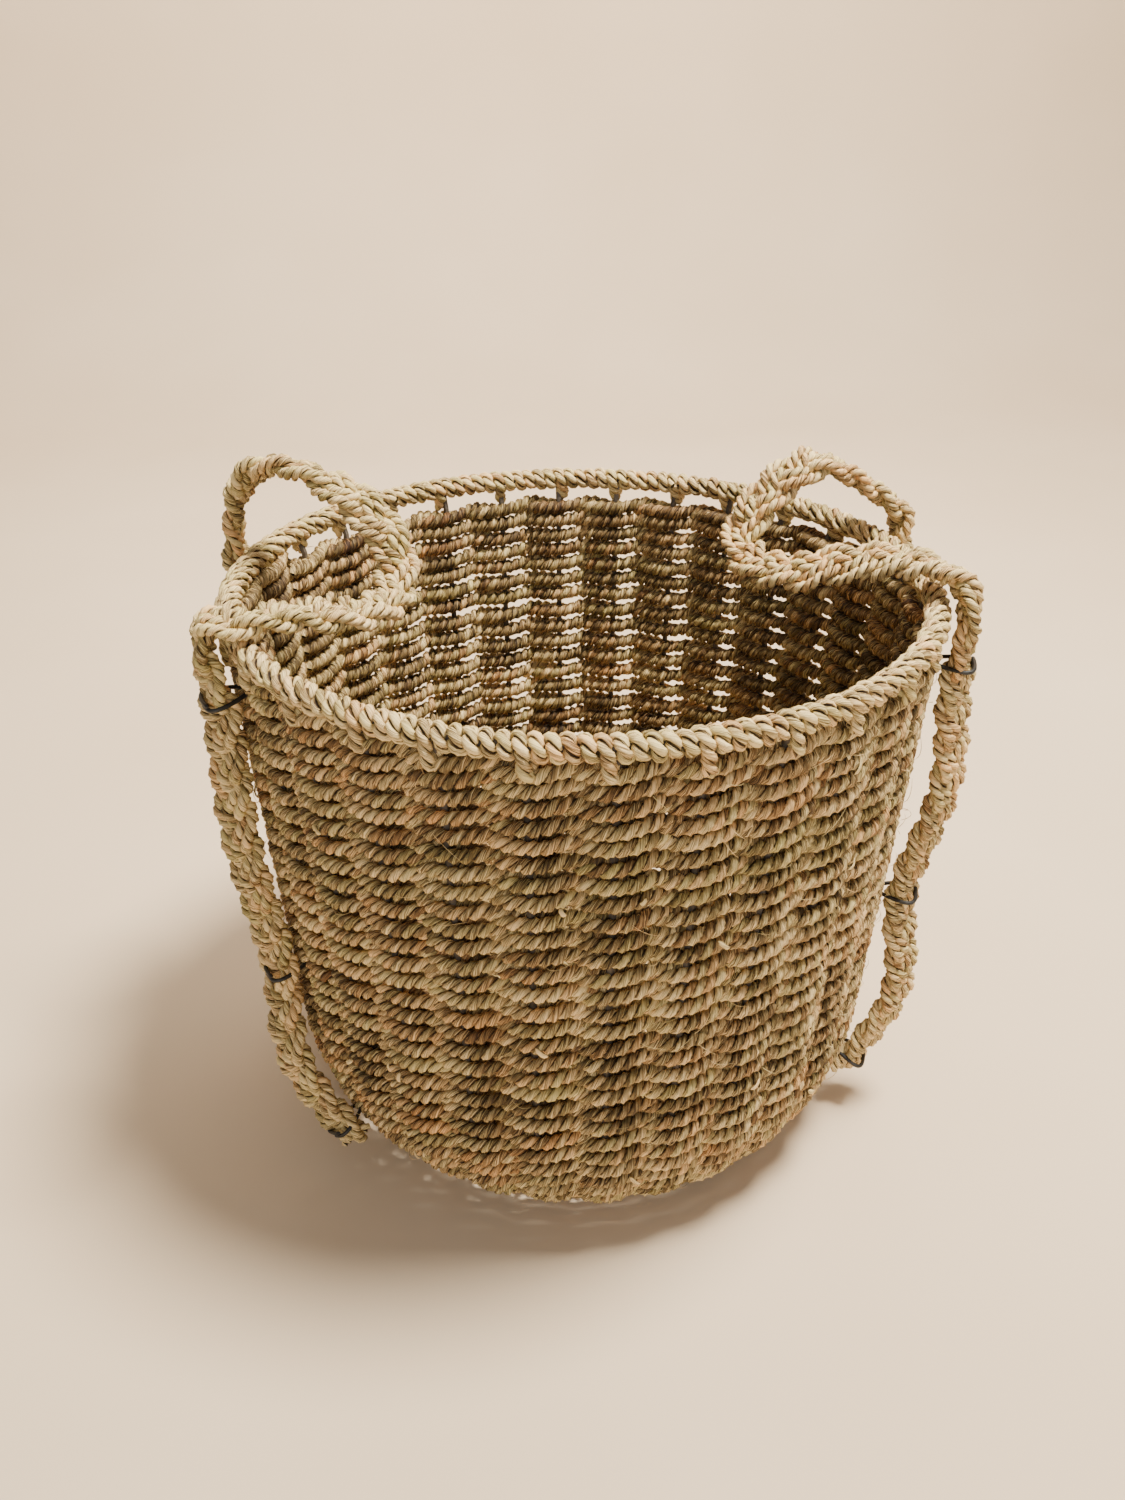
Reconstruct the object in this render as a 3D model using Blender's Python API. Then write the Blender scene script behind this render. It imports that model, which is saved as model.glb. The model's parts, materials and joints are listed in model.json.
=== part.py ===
"""Round seagrass storage basket: a cage of iron wires, a woven wall and base, a wrapped rim and two plaited handles.

The basket stands on the plane z = 0 with its axis on Z. The handles are on +X and -X. Each handle is one
plait that runs up the wall, over as a loop and down again. The loop swings about the line through its legs' tops.
"""

import math

import bpy
from mathutils import Matrix, Vector

# Wire cage
RIM_RADIUS = 0.200
RIM_HEIGHT = 0.350
HOOP_WIRE = 0.005
STAKE_WIRE = 0.004
STAKE_COUNT = 30
STAKE_PHASE_DEG = 6.0
BASE_HOOP_RADIUS = 0.050

# Weave: two layers of rope with the wires between them
LAYER_THICKNESS = 0.005
WEAVE_TOP_PAST_RIM = 0.0045
WEAVE_TOP_BELOW_RIM = 0.0135
FLAT_RADIUS = 0.122
TURN_WIDTH = 0.065
TURN_HEIGHT = 0.100

# Rim wrap
WRAP_DIAMETER = 0.0136

# Handles
PLAIT_WIDTH = 0.026
PLAIT_THICKNESS = 0.013
# Each handle's middle round the rim, and how far its legs stand to each side of it.
HANDLE_MIDDLE_DEG = {"right": 0.0, "left": 182.0}
LEG_ANGLE_DEG = {"right": 17.7, "left": 20.0}
LEG_STANDOFF = {"right": 0.006, "left": 0.0042}
FOOT_STANDOFF = 0.003
LEG_BULGE = {"right": 0.009, "left": 0.005}
TIE_STRAIGHT = 0.005
LEG_BOTTOM_HEIGHT = 0.026
# How far each leg's free end has drifted round the wall, away from its handle's middle.
LEG_DRIFT_DEG = {"right_near": 2.0, "right_far": 9.0, "left_near": 14.0, "left_far": 6.0}
HINGE_ABOVE_RIM = 0.003
SWING_DEG = 125.0
TIE_WIRE = 0.0026
LOWER_TIE_HEIGHT = 0.037
UPPER_TIE_BELOW_RIM = 0.029
MIDDLE_TIE_SHARES = {"right": 0.45, "left": 0.355}

# Fit. The legs' tops leave more room than the rest, for the bend of the loops just past their ends.
GAP = 0.0003
LEG_TOP_GAP = 0.0018

# Fineness
ROUND_SEGMENTS = 60
TURN_STEPS = 6
WALL_STEPS = 3
STAKE_SIDES = 5
HOOP_SIDES = 6
LEG_STEPS = 13
LOOP_STEPS = 34

# The loops' routes from the near leg to the far leg, between their hinges: inward from the hinge, across in half
# spans, and up from where a plait rests on the rim. The right loop lies low over the rim, turns and comes back
# raised. The left one turns and then stands up.
RIGHT_ROUTE = [
    (0.0000, -0.99, -0.0041), (0.0045, -0.86, 0.0019), (0.0115, -0.66, 0.0049), (0.0315, -0.39, 0.0039),
    (0.0615, -0.20, -0.0021), (0.0815, -0.06, -0.0091), (0.0975, 0.24, -0.0131), (0.1055, 0.53, -0.0101),
    (0.1035, 0.71, -0.0001), (0.0955, 0.79, 0.0119), (0.0845, 0.85, 0.0229), (0.0715, 0.89, 0.0319),
    (0.0585, 0.94, 0.0359), (0.0445, 0.99, 0.0309), (0.0255, 1.04, 0.0199), (0.0105, 1.04, 0.0099),
    (0.0010, 1.01, 0.0009), (0.0000, 1.00, -0.0051),
]
LEFT_ROUTE = [
    (0.0000, -1.00, -0.0041), (0.0045, -1.02, 0.0009), (0.0125, -1.05, 0.0029), (0.0235, -1.05, 0.0019),
    (0.0455, -0.92, 0.0009), (0.0695, -0.78, -0.0041), (0.0865, -0.54, -0.0091), (0.0965, -0.20, -0.0101),
    (0.0990, 0.03, -0.0021), (0.0965, 0.15, 0.0099), (0.0875, 0.22, 0.0219), (0.0765, 0.30, 0.0329),
    (0.0555, 0.48, 0.0429), (0.0335, 0.68, 0.0459), (0.0175, 0.83, 0.0399), (0.0060, 0.95, 0.0239),
    (0.0005, 1.00, 0.0049), (0.0000, 1.00, -0.0041),
]
# Which way each loop's flat face points along its route: the share of the route, then inward, across and up.
RIGHT_FACING = [
    (0.00, -1.0, 0.0, 0.0), (0.05, -0.6, 0.0, 0.8), (0.12, 0.0, -0.1, 1.0), (0.24, 0.1, -0.5, 0.85),
    (0.45, 0.15, -0.6, 0.8), (0.60, 0.2, -0.75, 0.6), (0.72, 0.0, -0.5, 0.85), (0.82, -0.3, 0.2, 0.9),
    (0.93, -0.9, 0.1, 0.4), (1.00, -1.0, 0.0, 0.0),
]
LEFT_FACING = [
    (0.00, -1.0, 0.0, 0.0), (0.05, -0.6, 0.0, 0.8), (0.12, 0.0, 0.0, 1.0), (0.35, 0.0, -0.35, 0.9),
    (0.45, 0.2, -0.7, 0.65), (0.58, 0.3, -0.8, 0.5), (0.72, 0.1, 0.35, 0.95), (0.86, -0.3, 0.4, 0.9),
    (0.94, -0.9, 0.0, 0.3), (1.00, -1.0, 0.0, 0.0),
]

# Worked out from the sizes above
WEAVE_TOP = RIM_HEIGHT - WEAVE_TOP_BELOW_RIM
WEAVE_TOP_RADIUS = RIM_RADIUS + WEAVE_TOP_PAST_RIM
CAGE_SPACE = STAKE_WIRE + 2 * GAP
STAKE_DEPTH = LAYER_THICKNESS + CAGE_SPACE / 2
PLAIT_ON_RIM = WRAP_DIAMETER / 2 + PLAIT_THICKNESS / 2 + GAP
HINGE_HEIGHT = RIM_HEIGHT + HINGE_ABOVE_RIM
UPPER_TIE_HEIGHT = RIM_HEIGHT - UPPER_TIE_BELOW_RIM


def clear_scene():
    for old in list(bpy.data.objects):
        bpy.data.objects.remove(old, do_unlink=True)


def make_material(name, colour, roughness, metallic=0.0):
    material = bpy.data.materials.new(name)
    material.use_nodes = True
    shader = material.node_tree.nodes["Principled BSDF"]
    shader.inputs["Base Color"].default_value = (*colour, 1.0)
    shader.inputs["Roughness"].default_value = roughness
    shader.inputs["Metallic"].default_value = metallic
    return material


def make_object(name, vertices, faces, material, smooth=True):
    """One closed body, its faces turned to point out."""
    mesh = bpy.data.meshes.new(name)
    mesh.from_pydata([tuple(v) for v in vertices], [], faces)
    mesh.validate()
    mesh.materials.append(material)
    if signed_volume(mesh) < 0:
        mesh.flip_normals()
    if smooth:
        mesh.shade_smooth()
        mesh.set_sharp_from_angle(angle=math.radians(40))
    mesh.update()
    made = bpy.data.objects.new(name, mesh)
    bpy.context.scene.collection.objects.link(made)
    return made


def signed_volume(mesh):
    mesh.calc_loop_triangles()
    total = 0.0
    for triangle in mesh.loop_triangles:
        a, b, c = (mesh.vertices[i].co for i in triangle.vertices)
        total += a.dot(b.cross(c))
    return total / 6


def ring_faces(rings, sides, closed):
    """Faces between neighbouring rings of vertices, with end caps where the run of rings isn't closed."""
    faces = []
    for i in range(rings if closed else rings - 1):
        here = i * sides
        there = (i + 1) % rings * sides
        for j in range(sides):
            k = (j + 1) % sides
            faces.append((here + j, here + k, there + k, there + j))
    if not closed:
        faces.append(tuple(range(sides))[::-1])
        faces.append(tuple(range((rings - 1) * sides, rings * sides)))
    return faces


def lathe(name, profile, material):
    """A closed outline of (radius, height) points turned once about Z."""
    vertices = []
    for i in range(ROUND_SEGMENTS):
        angle = math.tau * i / ROUND_SEGMENTS
        for radius, height in profile:
            vertices.append((radius * math.cos(angle), radius * math.sin(angle), height))
    return make_object(name, vertices, ring_faces(ROUND_SEGMENTS, len(profile), True), material)


def disc(name, radius, bottom, top, material):
    vertices = []
    for height in (bottom, top):
        for i in range(ROUND_SEGMENTS):
            angle = math.tau * i / ROUND_SEGMENTS
            vertices.append((radius * math.cos(angle), radius * math.sin(angle), height))
    return make_object(name, vertices, ring_faces(2, ROUND_SEGMENTS, False), material)


def circle(radius, sides):
    return [(radius * math.cos(math.tau * i / sides), radius * math.sin(math.tau * i / sides)) for i in range(sides)]


def outer_outline():
    """The woven wall's outer outline from the flat base's edge, round the turn and up the tapered wall."""
    points = []
    for i in range(TURN_STEPS + 1):
        angle = math.pi / 2 * i / TURN_STEPS
        points.append((FLAT_RADIUS + TURN_WIDTH * math.sin(angle), TURN_HEIGHT * (1 - math.cos(angle))))
    for i in range(1, WALL_STEPS + 1):
        share = i / WALL_STEPS
        start_radius = FLAT_RADIUS + TURN_WIDTH
        points.append((start_radius + (WEAVE_TOP_RADIUS - start_radius) * share,
                       TURN_HEIGHT + (WEAVE_TOP - TURN_HEIGHT) * share))
    return points


def offset_outline(depth):
    """The outer outline moved inward by a depth, square to itself. Its ends stay square to the base and level."""
    points = [Vector(p) for p in outer_outline()]
    moved = []
    for i, point in enumerate(points):
        before = points[max(i - 1, 0)]
        after = points[min(i + 1, len(points) - 1)]
        along = (after - before).normalized()
        if i == 0:
            along = Vector((1.0, 0.0))
        if i == len(points) - 1:
            along = Vector((0.0, 1.0))
        moved.append((point.x - along.y * depth, point.y + along.x * depth))
    return moved


def outline_radius(height):
    """The wall's outer radius at a height."""
    points = outer_outline()
    for (r0, z0), (r1, z1) in zip(points, points[1:]):
        if z0 <= height <= z1:
            return r0 + (r1 - r0) * (height - z0) / (z1 - z0)
    return points[-1][0]


def build_weave(seagrass):
    outside = offset_outline(0.0)
    outside_back = offset_outline(LAYER_THICKNESS)
    lathe("wall_weave_outer", outside + outside_back[::-1], seagrass)
    inside_back = offset_outline(LAYER_THICKNESS + CAGE_SPACE)
    inside = offset_outline(2 * LAYER_THICKNESS + CAGE_SPACE)
    lathe("wall_weave_inner", inside_back + inside[::-1], seagrass)
    disc("base_weave_under", FLAT_RADIUS - GAP, 0.0, LAYER_THICKNESS, seagrass)
    inner_bottom = LAYER_THICKNESS + CAGE_SPACE
    disc("base_weave_inside", FLAT_RADIUS - GAP, inner_bottom, inner_bottom + LAYER_THICKNESS, seagrass)


def build_rim(seagrass, iron):
    hoop = [(RIM_RADIUS + x, RIM_HEIGHT + z) for x, z in circle(HOOP_WIRE / 2, HOOP_SIDES)]
    lathe("rim_hoop", hoop, iron)
    outer_radius = WRAP_DIAMETER / 2
    inner_radius = HOOP_WIRE / 2 + GAP
    slot = STAKE_WIRE / 2 + GAP
    section = arc_about_slot(outer_radius, slot, 10) + arc_about_slot(inner_radius, slot, 5)[::-1]
    lathe("rim_wrap", [(RIM_RADIUS + x, RIM_HEIGHT + z) for x, z in section], seagrass)
    base_hoop = [(BASE_HOOP_RADIUS + x, STAKE_DEPTH + z) for x, z in circle(STAKE_WIRE / 2, STAKE_SIDES)]
    lathe("base_hoop", base_hoop, iron)


def arc_about_slot(radius, half_slot, steps):
    """A round section that is open at the bottom where the wires come in."""
    opening = math.asin(half_slot / radius)
    points = []
    for i in range(steps + 1):
        angle = -math.pi / 2 + opening + (math.tau - 2 * opening) * i / steps
        points.append((radius * math.cos(angle), radius * math.sin(angle)))
    return points


def stake_route():
    """A wire's route in its own upright plane: out from the base hoop, round the turn, up and onto the rim hoop."""
    start = BASE_HOOP_RADIUS + STAKE_WIRE + GAP
    points = [(start, STAKE_DEPTH)] + offset_outline(STAKE_DEPTH)
    points.append((RIM_RADIUS, RIM_HEIGHT - WRAP_DIAMETER / 2 + GAP))
    points.append((RIM_RADIUS, RIM_HEIGHT - HOOP_WIRE / 2 - GAP))
    return [Vector((r, 0.0, z)) for r, z in points]


def build_stakes(iron):
    route = stake_route()
    section = circle(STAKE_WIRE / 2, STAKE_SIDES)
    vertices = []
    for i, point in enumerate(route):
        before = route[max(i - 1, 0)]
        after = route[min(i + 1, len(route) - 1)]
        along = (after - before).normalized()
        side = Vector((0.0, 1.0, 0.0))
        normal = side.cross(along)
        for a, b in section:
            vertices.append(point + normal * a + side * b)
    faces = ring_faces(len(route), len(section), False)
    first = make_object("stake_01", vertices, faces, iron)
    for i in range(STAKE_COUNT):
        stake = first
        if i > 0:
            stake = bpy.data.objects.new(f"stake_{i + 1:02d}", first.data)
            bpy.context.scene.collection.objects.link(stake)
        stake.rotation_euler.z = math.radians(STAKE_PHASE_DEG + 360.0 * i / STAKE_COUNT)


def plait_section(grow=0.0):
    """The plait's flat round-edged section, across (first) and through (second), optionally grown all round."""
    half_width = PLAIT_WIDTH / 2
    half_thickness = PLAIT_THICKNESS / 2
    corner = PLAIT_THICKNESS * 0.32
    points = [
        (half_width, -half_thickness + corner), (half_width, half_thickness - corner),
        (half_width - corner, half_thickness), (-half_width + corner, half_thickness),
        (-half_width, half_thickness - corner), (-half_width, -half_thickness + corner),
        (-half_width + corner, -half_thickness), (half_width - corner, -half_thickness),
    ]
    slant = grow * math.tan(math.radians(22.5))
    grown = []
    for x, y in points:
        on_side = abs(abs(x) - half_width) < 1e-9
        grown.append((x + math.copysign(grow if on_side else slant, x), y + math.copysign(slant if on_side else grow, y)))
    return grown


def tie_heights(side_name):
    """The heights of a leg's three ties, from the lowest."""
    middle = LOWER_TIE_HEIGHT + (UPPER_TIE_HEIGHT - LOWER_TIE_HEIGHT) * MIDDLE_TIE_SHARES[side_name]
    return {"lower": LOWER_TIE_HEIGHT, "middle": middle, "upper": UPPER_TIE_HEIGHT}


def half_span(side_name):
    """Half the distance between the tops of a handle's legs."""
    return (RIM_RADIUS + PLAIT_ON_RIM) * math.sin(math.radians(LEG_ANGLE_DEG[side_name]))


def hinge_distance(side_name):
    """How far the hinge line passes from the axis. The rim reaches furthest out beside the plait's inner edge."""
    inner_edge = half_span(side_name) - PLAIT_WIDTH / 2
    rim_reach = math.sqrt((RIM_RADIUS + WRAP_DIAMETER / 2) ** 2 - inner_edge ** 2)
    return rim_reach + GAP + PLAIT_THICKNESS / 2


def leg_point(height, side_name, leg_name):
    """The middle of a leg at a height: off the wall, bulging out between its ties, its free end drifting aside.

    Here and in the other leg functions the handle's middle is on +X. It is turned to its place afterwards.
    """
    lower, middle, upper = tie_heights(side_name).values()
    fall = max(0.0, (middle - height) / (middle - LEG_BOTTOM_HEIGHT))
    distance = outline_radius(min(height, upper)) + LEG_STANDOFF[side_name] + PLAIT_THICKNESS / 2
    distance += FOOT_STANDOFF * fall
    top = Vector((hinge_distance(side_name), half_span(side_name)))
    if height > upper:
        share = (height - upper) / (HINGE_HEIGHT - upper)
        distance += (top.length - distance) * min(share * 1.6, 1.0)
    for low, high in ((lower, middle), (middle, upper)):
        if low < height < high:
            distance += LEG_BULGE[side_name] * math.sin(math.pi * (height - low) / (high - low)) ** 2
    angle = math.atan2(top.y, top.x) + math.radians(LEG_DRIFT_DEG[f"{side_name}_{leg_name}"]) * fall ** 1.5
    turn = leg_turn(side_name, leg_name)
    return Vector((distance * math.cos(angle), turn * distance * math.sin(angle), height))


def leg_turn(side_name, leg_name):
    """1 for the leg that follows the handle's middle anticlockwise, -1 for the one before it."""
    return 1.0 if (side_name == "right") == (leg_name == "far") else -1.0


def leg_route(side_name, leg_name):
    """Points up a leg from its free end to its hinge, with a straight stretch at each tie."""
    ties = tie_heights(side_name)
    step = (HINGE_HEIGHT - LEG_BOTTOM_HEIGHT) / LEG_STEPS
    even = [LEG_BOTTOM_HEIGHT + step * i for i in range(LEG_STEPS + 1)]
    heights = [h for h in even if all(abs(h - tie) > 2 * TIE_STRAIGHT for tie in ties.values())]
    for tie in ties.values():
        heights += [tie - TIE_STRAIGHT, tie + TIE_STRAIGHT]
    heights = sorted(heights + [LEG_BOTTOM_HEIGHT] * (LEG_BOTTOM_HEIGHT not in heights))
    return [leg_point(h, side_name, leg_name) for h in heights]


def square_axes(point, along):
    """Across the leg and out from the wall, both square to the way it runs."""
    out = Vector((point.x, point.y, 0.0)).normalized()
    side = along.cross(out).normalized()
    return side, side.cross(along)


def turn_to_place(made, side_name):
    """Turns an object of a handle about the basket's axis, from +X to the handle's own place."""
    turn = Matrix.Rotation(math.radians(HANDLE_MIDDLE_DEG[side_name]), 4, "Z")
    made.matrix_world = turn @ Matrix.Translation(made.location)


def build_leg(name, route, side_name, material):
    """A leg of plait whose slanted top clears the loop as it swings past upright."""
    vertices = []
    for i, point in enumerate(route):
        before = route[max(i - 1, 0)]
        after = route[min(i + 1, len(route) - 1)]
        side, out = square_axes(point, (after - before).normalized())
        for a, b in plait_section():
            vertex = point + side * a + out * b
            if i == len(route) - 1:
                vertex.z = leg_top_height(vertex, side_name)
            vertices.append(vertex)
    leg = make_object(name, vertices, ring_faces(len(route), len(plait_section()), False), material)
    turn_to_place(leg, side_name)


def leg_top_height(point, side_name):
    """The height of the slanted plane just under the loop's lower face at the end of its swing."""
    slope = math.radians(SWING_DEG - 90.0)
    beyond = point.x - hinge_distance(side_name)
    return HINGE_HEIGHT - beyond * math.tan(slope) - (PLAIT_THICKNESS / 2 + LEG_TOP_GAP) / math.cos(slope)


def build_tie(name, below, above, side_name, material):
    """A closed ring of wire round the straight stretch of a leg between two points, square to it."""
    middle = (below + above) / 2
    along = (above - below).normalized()
    side, out = square_axes(middle, along)
    path = [middle + side * a + out * b for a, b in plait_section(GAP * 2 + TIE_WIRE / 2)]
    vertices = []
    for i, point in enumerate(path):
        run = (path[(i + 1) % len(path)] - path[i - 1]).normalized()
        away = run.cross(along)
        for a, b in circle(TIE_WIRE / 2, STAKE_SIDES):
            vertices.append(point + away * a + along * b)
    tie = make_object(name, vertices, ring_faces(len(path), STAKE_SIDES, True), material)
    turn_to_place(tie, side_name)


def smooth_route(points, steps):
    """Evenly spaced points on a smooth curve through the given ones."""
    fine = []
    padded = [points[0]] + points + [points[-1]]
    for i in range(1, len(padded) - 2):
        p0, p1, p2, p3 = padded[i - 1:i + 3]
        for k in range(12):
            t = k / 12
            fine.append(0.5 * (2 * p1 + (p2 - p0) * t + (2 * p0 - 5 * p1 + 4 * p2 - p3) * t ** 2
                               + (3 * p1 - p0 - 3 * p2 + p3) * t ** 3))
    fine.append(points[-1])
    lengths = [0.0]
    for a, b in zip(fine, fine[1:]):
        lengths.append(lengths[-1] + (b - a).length)
    even = []
    k = 0
    for i in range(steps + 1):
        target = lengths[-1] * i / steps
        while k < len(fine) - 2 and lengths[k + 1] < target:
            k += 1
        share = (target - lengths[k]) / (lengths[k + 1] - lengths[k])
        even.append(fine[k].lerp(fine[k + 1], min(share, 1.0)))
    return even


def facing_normals(path, facing, across_sign):
    """The way a plait runs at each point of its path, and the way its flat face points, square to that."""
    tangents = []
    for i in range(len(path)):
        tangents.append((path[min(i + 1, len(path) - 1)] - path[max(i - 1, 0)]).normalized())
    tangents[0] = Vector((0.0, 0.0, 1.0))
    tangents[-1] = Vector((0.0, 0.0, -1.0))
    normals = []
    for i, tangent in enumerate(tangents):
        share = i / (len(path) - 1)
        k = max(j for j in range(len(facing) - 1) if facing[j][0] <= share)
        before, after = Vector(facing[k][1:]), Vector(facing[k + 1][1:])
        inward, across, up = before.lerp(after, (share - facing[k][0]) / (facing[k + 1][0] - facing[k][0]))
        face = Vector((-inward, across * across_sign, up))
        normals.append((face - tangent * face.dot(tangent)).normalized())
    return tangents, normals


def build_loop(name, route, facing, side_name, material):
    """A loop of plait with both ends rounded about the hinge line. Its origin is on that line."""
    rest = RIM_HEIGHT + PLAIT_ON_RIM - HINGE_HEIGHT
    span = half_span(side_name) * leg_turn(side_name, "far")
    points = [Vector((0.0, -span, 0.0))]
    for inward, across, up in route:
        points.append(Vector((-inward, across * span, rest + up)))
    points.append(Vector((0.0, span, 0.0)))
    path = smooth_route(points, LOOP_STEPS)
    tangents, normals = facing_normals(path, facing, leg_turn(side_name, "far"))
    stations = []
    for bend in (80.0, 55.0, 28.0):
        stations.append((path[0], tangents[0], normals[0], math.radians(bend)))
    for point, tangent, normal in zip(path, tangents, normals):
        stations.append((point, tangent, normal, 0.0))
    for bend in (28.0, 55.0, 80.0):
        stations.append((path[-1], -tangents[-1], normals[-1], math.radians(bend)))
    vertices = []
    for i, (point, tangent, normal, bend) in enumerate(stations):
        side = tangents[0].cross(normals[0]) if i < 3 else tangent.cross(normal)
        if i >= len(stations) - 3:
            side = tangents[-1].cross(normals[-1])
        drop = tangent * (-math.sin(bend) * PLAIT_THICKNESS / 2)
        for a, b in plait_section():
            vertices.append(point + drop + side * a + normal * (b * math.cos(bend)))
    loop = make_object(name, vertices, ring_faces(len(stations), 8, False), material)
    loop.location = (hinge_distance(side_name), 0.0, HINGE_HEIGHT)
    turn_to_place(loop, side_name)


def build_handle(side_name, route, facing, seagrass, black):
    for leg_name in ("near", "far"):
        build_leg(f"{side_name}_handle_{leg_name}_leg", leg_route(side_name, leg_name), side_name, seagrass)
        for level, height in tie_heights(side_name).items():
            below, above = (leg_point(height + d, side_name, leg_name) for d in (-TIE_STRAIGHT, TIE_STRAIGHT))
            build_tie(f"{side_name}_{leg_name}_{level}_tie", below, above, side_name, black)
    build_loop(f"{side_name}_handle_loop", route, facing, side_name, seagrass)


def build_basket():
    clear_scene()
    seagrass = make_material("seagrass", (0.50, 0.36, 0.19), 0.75)
    iron = make_material("dark_iron", (0.09, 0.075, 0.06), 0.55, 0.8)
    black = make_material("black_tie", (0.012, 0.012, 0.012), 0.5)
    build_weave(seagrass)
    build_rim(seagrass, iron)
    build_stakes(iron)
    build_handle("right", RIGHT_ROUTE, RIGHT_FACING, seagrass, black)
    build_handle("left", LEFT_ROUTE, LEFT_FACING, seagrass, black)


build_basket()
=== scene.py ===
"""Looks of the round seagrass storage basket: rope twined over wires, a wrapped rim and plaited handles.

The plain solids of the CAD are replaced with laid rope, made as tubes that follow the same shapes. The units
are metres, with +Z up.
"""

import json
import math

import bpy
import numpy as np
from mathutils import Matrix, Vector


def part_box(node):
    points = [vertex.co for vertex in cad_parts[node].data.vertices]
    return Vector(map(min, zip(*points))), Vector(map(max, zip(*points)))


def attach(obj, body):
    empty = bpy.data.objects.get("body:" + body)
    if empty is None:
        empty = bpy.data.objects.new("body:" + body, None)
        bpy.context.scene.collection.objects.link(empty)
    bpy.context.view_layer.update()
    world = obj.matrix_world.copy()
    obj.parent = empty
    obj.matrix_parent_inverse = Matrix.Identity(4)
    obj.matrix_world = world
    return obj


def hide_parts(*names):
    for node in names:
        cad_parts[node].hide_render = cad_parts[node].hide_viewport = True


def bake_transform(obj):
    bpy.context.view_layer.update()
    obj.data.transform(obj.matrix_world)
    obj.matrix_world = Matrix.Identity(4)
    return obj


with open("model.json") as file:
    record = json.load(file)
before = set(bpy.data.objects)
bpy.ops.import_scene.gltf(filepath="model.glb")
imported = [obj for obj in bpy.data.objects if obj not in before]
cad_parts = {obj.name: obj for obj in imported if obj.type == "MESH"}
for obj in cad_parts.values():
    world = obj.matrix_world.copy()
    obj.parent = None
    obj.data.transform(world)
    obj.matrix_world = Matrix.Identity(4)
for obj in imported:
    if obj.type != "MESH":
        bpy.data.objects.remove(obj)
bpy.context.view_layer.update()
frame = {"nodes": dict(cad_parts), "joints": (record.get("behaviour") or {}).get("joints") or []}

# Sizes from the frame, in metres
rim_low, rim_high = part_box("rim_wrap")
WRAP_RADIUS = (rim_high[2] - rim_low[2]) / 2
RIM_HEIGHT = (rim_high[2] + rim_low[2]) / 2
RIM_RADIUS = rim_high[0] - WRAP_RADIUS
WALL_TOP_RADIUS, _, WALL_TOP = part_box("wall_weave_outer")[1]
FLAT_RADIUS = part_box("base_weave_under")[1][0]
HINGES = {joint["child"]: joint["pos_m"] for joint in frame["joints"]}
HINGE_HEIGHT = HINGES["right_handle"][2]

# The wall's shape and the cage, as in the CAD. The wires' middles lie this deep under the weave's outside.
TURN_WIDTH = 0.065
TURN_HEIGHT = 0.100
STAKE_DEPTH = 0.0073
STAKES = 30
STAKE_PHASE = math.radians(6.0)

# Rope: two plies twisted round each other. The shares are of the rope's diameter.
ROPE = 0.0076
ROPE_LAY = 0.0126
STEP = 0.0019
PLY_SIDES = 7
PLY_OFFSET = 0.25
PLY_RADIUS = 0.31
END_SHARE = 0.15

# How unevenly the rope is made: the spacing between changes along it, and how large they are.
SIZE_WANDER = (0.03, 0.05)
TURN_WANDER = (0.05, 0.35)
PLY_WANDER = (0.012, 0.08)
SHADE_WANDER = (0.02, 0.20)
WARMTH_WANDER = (0.03, 0.25)
PLY_SHADES = 0.04

# Weave: how far the ropes swing out and up as they swap sides, and how far they dip at each wire.
OUT_SWING = 0.0040
BASE_SWING = 0.0024
UP_SWING = 0.0021
DIP = 0.0018
# While a rope is inside the basket it swings up less and is thicker, and its colour there is made darker as
# painted shade for the dimmer inside.
INSIDE_CALM = 0.75
INSIDE_THICKER = 0.26
INSIDE_PAINTED_SHADE = 0.20
# Rows are measured down a line that starts this far above the CAD's weave, and are closer together at the top.
ABOVE_TOP = 0.006
FIRST_ROW_BELOW_TOP = 0.0023
ROW_START = math.radians(150.0)
PITCH_AT_TOP = 0.0096
PITCH_BELOW = 0.0122
ROWS_TO_FULL_PITCH = 9
# The rows end where the centre coil of this radius begins.
CENTRE_COIL = 0.034
# How late each rope changes sides, and how much faster it crosses between the wires than it passes them.
SIDE_DELAY = 0.34
CROSSING_HASTE = 0.17
WEAVE_STEP = 0.0016
FEWEST_POINTS = 200
# The swing grows from the base's to the wall's as the surface turns upright, and is full before it's upright.
UPRIGHT_GAIN = 1.6
# How unevenly it is woven: the spacing between changes, in wires, and how large they are.
DOWN_WANDER = (2.0, 0.0006)
OUT_WANDER = (0.7, 0.0004)
SWING_WANDER = (1.5, 0.25)
UP_WANDER = (0.8, 0.0007)
SEED = 7

# ---------------------------------------------------------------- numbers

rng = np.random.default_rng(SEED)


def unit(vectors):
    return vectors / np.maximum(np.linalg.norm(vectors, axis=-1, keepdims=True), 1e-12)


def wander(places, spacing, amount):
    """Smooth random values up to amount either way along a line of places, changing every spacing.

    They are 0 at both ends.
    """
    low, high = float(np.min(places)), float(np.max(places))
    knots = max(4, int((high - low) / spacing) + 4)
    values = rng.uniform(-amount, amount, knots)
    x = (np.asarray(places) - low) / max(high - low, 1e-9) * (knots - 2.001)
    i = x.astype(int)
    t = x - i
    t = t * t * (3 - 2 * t)
    calm = np.clip(np.minimum(places - low, high - places) / (2 * spacing), 0, 1)
    return (values[i] * (1 - t) + values[i + 1] * t) * calm


def along_path(path):
    return np.concatenate([[0.0], np.cumsum(np.linalg.norm(np.diff(path, axis=0), axis=1))])


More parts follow.
